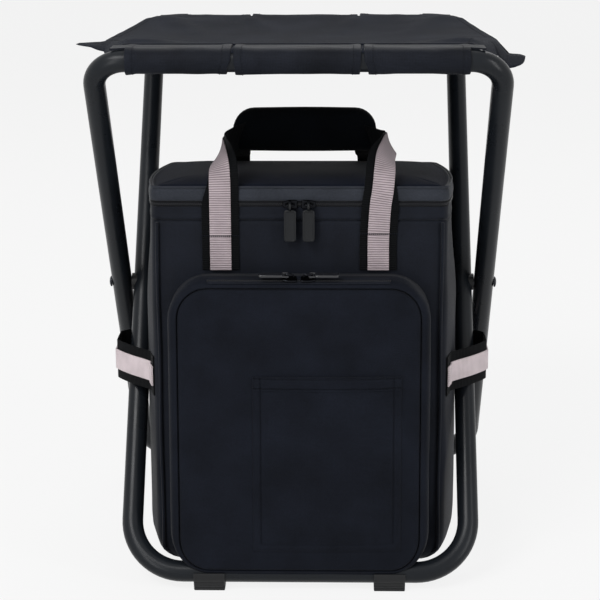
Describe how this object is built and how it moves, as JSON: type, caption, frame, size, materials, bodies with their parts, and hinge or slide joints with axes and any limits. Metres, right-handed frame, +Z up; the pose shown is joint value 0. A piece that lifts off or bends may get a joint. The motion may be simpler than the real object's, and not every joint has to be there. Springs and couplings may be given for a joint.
{
  "type": "folding cooler stool",
  "caption": "Folding stool on a crossed tube frame with a cloth sling seat, carrying a soft insulated cooler bag with a zipped lid and front pocket.",
  "frame": {"origin": "on the ground, under the middle of the object's bounding box", "axes": "+X to the right in the front view, +Y towards the rear, +Z up"},
  "size_m": [0.4074, 0.354, 0.4875],
  "materials": {
    "tube_paint": "satin powder coat",
    "rivet_steel": "satin",
    "zip_metal": "black plated",
    "black_plastic": "matte",
    "seat_cloth": "coarse polyester weave",
    "bag_cloth": "coarse polyester weave",
    "lid_cloth": "coarse polyester weave",
    "liner_film": "silvered film",
    "zip_nylon": "woven tape and coil",
    "pull_rubber": "moulded",
    "grey_webbing": "woven",
    "black_webbing": "woven",
    "grip_wrap": "padded brushed nylon"
  },
  "bodies": {
    "base": {"frame_inner": "tube_paint", "pivot_rivet_left": "rivet_steel", "pivot_rivet_right": "rivet_steel", "pivot_spacer_left": "black_plastic", "pivot_spacer_right": "black_plastic", "foot_front_left": "black_plastic", "foot_front_right": "black_plastic", "seat_panel": "seat_cloth", "seat_sleeve_rear_left": "seat_cloth", "seat_sleeve_rear_centre": "seat_cloth", "seat_sleeve_rear_right": "seat_cloth", "cooler_body": "bag_cloth", "cooler_liner": "liner_film", "lid_zip_lower_tape": "zip_nylon", "corner_piping_left": "black_webbing", "corner_piping_right": "black_webbing", "pocket_gusset": "bag_cloth", "pocket_face": "bag_cloth", "patch_pocket": "bag_cloth", "patch_pocket_hem": "bag_cloth", "pocket_zip": "zip_nylon", "strap_backing_left": "black_webbing", "strap_backing_right": "black_webbing", "strap_front_left": "grey_webbing", "strap_front_right": "grey_webbing", "strap_rear_left": "grey_webbing", "strap_rear_right": "grey_webbing", "handle_grip": "grip_wrap", "side_strap_left": "black_webbing", "side_strap_right": "black_webbing", "side_webbing_left": "grey_webbing", "side_webbing_right": "grey_webbing", "back_panel": "bag_cloth", "shoulder_strap_left": "black_webbing", "shoulder_strap_right": "black_webbing", "strap_buckle_left": "black_plastic", "strap_buckle_right": "black_plastic", "strap_adjuster_left": "black_webbing", "strap_adjuster_right": "black_webbing"},
    "outer_frame": {"frame_outer": "tube_paint", "foot_rear_left": "black_plastic", "foot_rear_right": "black_plastic", "seat_sleeve_front_left": "seat_cloth", "seat_sleeve_front_centre": "seat_cloth", "seat_sleeve_front_right": "seat_cloth"},
    "lid": {"cooler_lid": "lid_cloth", "lid_zip_upper_tape": "zip_nylon"},
    "lid_slider_left_body": {"lid_slider_left": "zip_metal"},
    "lid_slider_right_body": {"lid_slider_right": "zip_metal"},
    "lid_pull_left_body": {"lid_pull_left": "pull_rubber"},
    "lid_pull_right_body": {"lid_pull_right": "pull_rubber"},
    "pocket_slider_left_body": {"pocket_slider_left": "zip_metal"},
    "pocket_slider_right_body": {"pocket_slider_right": "zip_metal"},
    "pocket_pull_left_body": {"pocket_pull_left": "pull_rubber"},
    "pocket_pull_right_body": {"pocket_pull_right": "pull_rubber"}
  },
  "joints": [
    {"name": "fold", "type": "hinge", "parent": "base", "child": "outer_frame", "pos_m": [0, 0, 0.2455], "axis": [-1, 0, 0], "range_deg": [0, 58], "deforming": ["seat_panel", "side_strap_left", "side_strap_right", "side_webbing_left", "side_webbing_right"]},
    {"name": "lid_open", "type": "hinge", "parent": "base", "child": "lid", "pos_m": [0, 0.08, 0.33245], "axis": [-1, 0, 0], "range_deg": [0, 8]},
    {"name": "lid_slider_left_slide", "type": "slide", "parent": "base", "child": "lid_slider_left_body", "axis": [-1, 0, 0], "range_m": [0, 0.035]},
    {"name": "lid_slider_right_slide", "type": "slide", "parent": "base", "child": "lid_slider_right_body", "axis": [1, 0, 0], "range_m": [0, 0.035]},
    {"name": "lid_pull_left_swing", "type": "hinge", "parent": "lid_slider_left_body", "child": "lid_pull_left_body", "pos_m": [-0.0082, -0.1266, 0.34445], "axis": [-1, 0, 0], "range_deg": [-6, 90]},
    {"name": "lid_pull_right_swing", "type": "hinge", "parent": "lid_slider_right_body", "child": "lid_pull_right_body", "pos_m": [0.0082, -0.1266, 0.34445], "axis": [-1, 0, 0], "range_deg": [-6, 90]},
    {"name": "pocket_slider_left_slide", "type": "slide", "parent": "base", "child": "pocket_slider_left_body", "axis": [-1, 0, 0], "range_m": [0, 0.035]},
    {"name": "pocket_slider_right_slide", "type": "slide", "parent": "base", "child": "pocket_slider_right_body", "axis": [1, 0, 0], "range_m": [0, 0.035]},
    {"name": "pocket_pull_left_lift", "type": "hinge", "parent": "pocket_slider_left_body", "child": "pocket_pull_left_body", "pos_m": [-0.00865, -0.15473, 0.28391], "axis": [0, 0.766, 0.6428], "range_deg": [0, 90]},
    {"name": "pocket_pull_right_lift", "type": "hinge", "parent": "pocket_slider_right_body", "child": "pocket_pull_right_body", "pos_m": [0.00865, -0.15473, 0.28391], "axis": [0, -0.766, -0.6428], "range_deg": [0, 90]}
  ]
}
